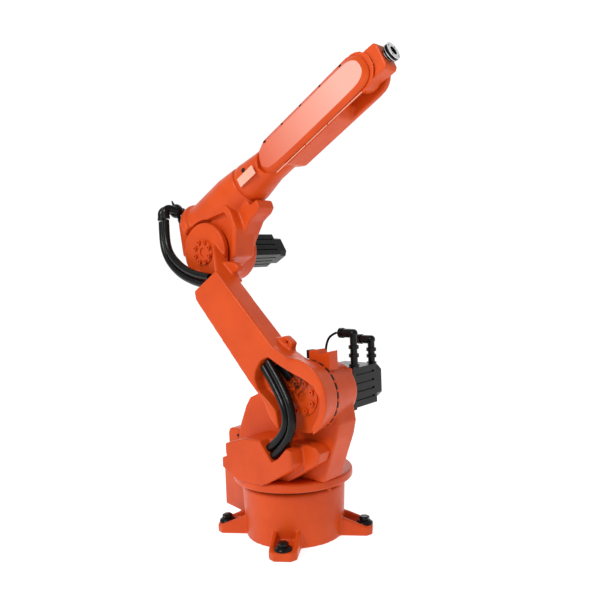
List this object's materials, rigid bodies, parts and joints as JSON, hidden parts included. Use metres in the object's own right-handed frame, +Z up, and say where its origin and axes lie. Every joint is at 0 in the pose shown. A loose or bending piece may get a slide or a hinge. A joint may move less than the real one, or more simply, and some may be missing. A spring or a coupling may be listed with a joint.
{
  "type": "industrial robot arm",
  "caption": "Floor-standing jointed robot arm with a turning column, a lower arm on one side, a raised elbow and a slim forearm ending in a wrist and tool flange.",
  "frame": {"origin": "on the floor under the base, on the vertical axis of the turntable", "axes": "+Z up along the axis of the turntable, +X to the front of the base, away from its connector box; the arm is turned a little to +Y at rest"},
  "size_m": [0.8158, 0.4452, 1.3556],
  "materials": {
    "orange_paint": "satin",
    "dark_steel": "satin",
    "rubber": "matte",
    "steel": "brushed",
    "black_plastic": "matte",
    "motor_black": "satin",
    "pale_paint": "satin",
    "aluminium": "satin"
  },
  "bodies": {
    "base": {"base_casting": "orange_paint", "foot_bolts": "dark_steel", "foot_washers": "dark_steel", "base_seal": "rubber", "connector_panel": "steel", "panel_sockets": "black_plastic"},
    "swivel": {"turntable": "orange_paint", "column": "orange_paint", "stop_blocks": "orange_paint", "stop_buffer": "rubber", "rear_box": "orange_paint", "side_cover": "orange_paint", "shoulder_seal": "rubber", "shoulder_motor": "motor_black", "shoulder_motor_cap": "motor_black", "motor_connectors": "black_plastic", "motor_cable": "rubber", "lifting_eye": "steel", "lower_hoses": "rubber"},
    "lower_arm": {"lower_arm": "orange_paint", "shoulder_disc": "orange_paint", "shoulder_screws": "orange_paint", "elbow_disc": "orange_paint", "elbow_screws": "orange_paint", "hose_clamp": "black_plastic", "upper_hoses": "rubber"},
    "elbow": {"elbow_housing": "orange_paint", "elbow_seal": "rubber", "elbow_adapter": "orange_paint", "elbow_motor": "motor_black", "elbow_motor_cap": "motor_black", "hose_gland": "black_plastic"},
    "forearm": {"neck_seal": "rubber", "forearm": "orange_paint", "forearm_cover": "orange_paint", "cover_screws": "dark_steel", "far_cover": "orange_paint", "blank_plate": "pale_paint"},
    "wrist": {"wrist": "orange_paint", "wrist_seals": "rubber"},
    "tool": {"tool_flange": "aluminium"}
  },
  "joints": [
    {"name": "j1_turn", "type": "hinge", "parent": "base", "child": "swivel", "pos_m": [0, 0, 0.167], "axis": [0, 0, 1], "range_deg": [-184, 156]},
    {"name": "j2_shoulder", "type": "hinge", "parent": "swivel", "child": "lower_arm", "pos_m": [0.14554, 0.03629, 0.44], "axis": [-0.2419, 0.9703, 0], "range_deg": [-24, 100], "deforming": ["lower_hoses"]},
    {"name": "j3_elbow", "type": "hinge", "parent": "lower_arm", "child": "elbow", "pos_m": [-0.25171, -0.06276, 0.84374], "axis": [0.2419, -0.9703, 0], "range_deg": [-60, 105], "deforming": ["upper_hoses"]},
    {"name": "j4_forearm_roll", "type": "hinge", "parent": "elbow", "child": "forearm", "pos_m": [-0.30265, -0.07546, 0.93467], "axis": [0.8403, 0.2095, 0.5], "range_deg": [-180, 180]},
    {"name": "j5_wrist_bend", "type": "hinge", "parent": "forearm", "child": "wrist", "pos_m": [0.28976, 0.07225, 1.28717], "axis": [-0.2419, 0.9703, 0], "range_deg": [-120, 120]},
    {"name": "j6_tool_turn", "type": "hinge", "parent": "wrist", "child": "tool", "pos_m": [0.38172, 0.09517, 1.33237], "axis": [0.8758, 0.2184, 0.4305], "range_deg": [-360, 360]}
  ]
}
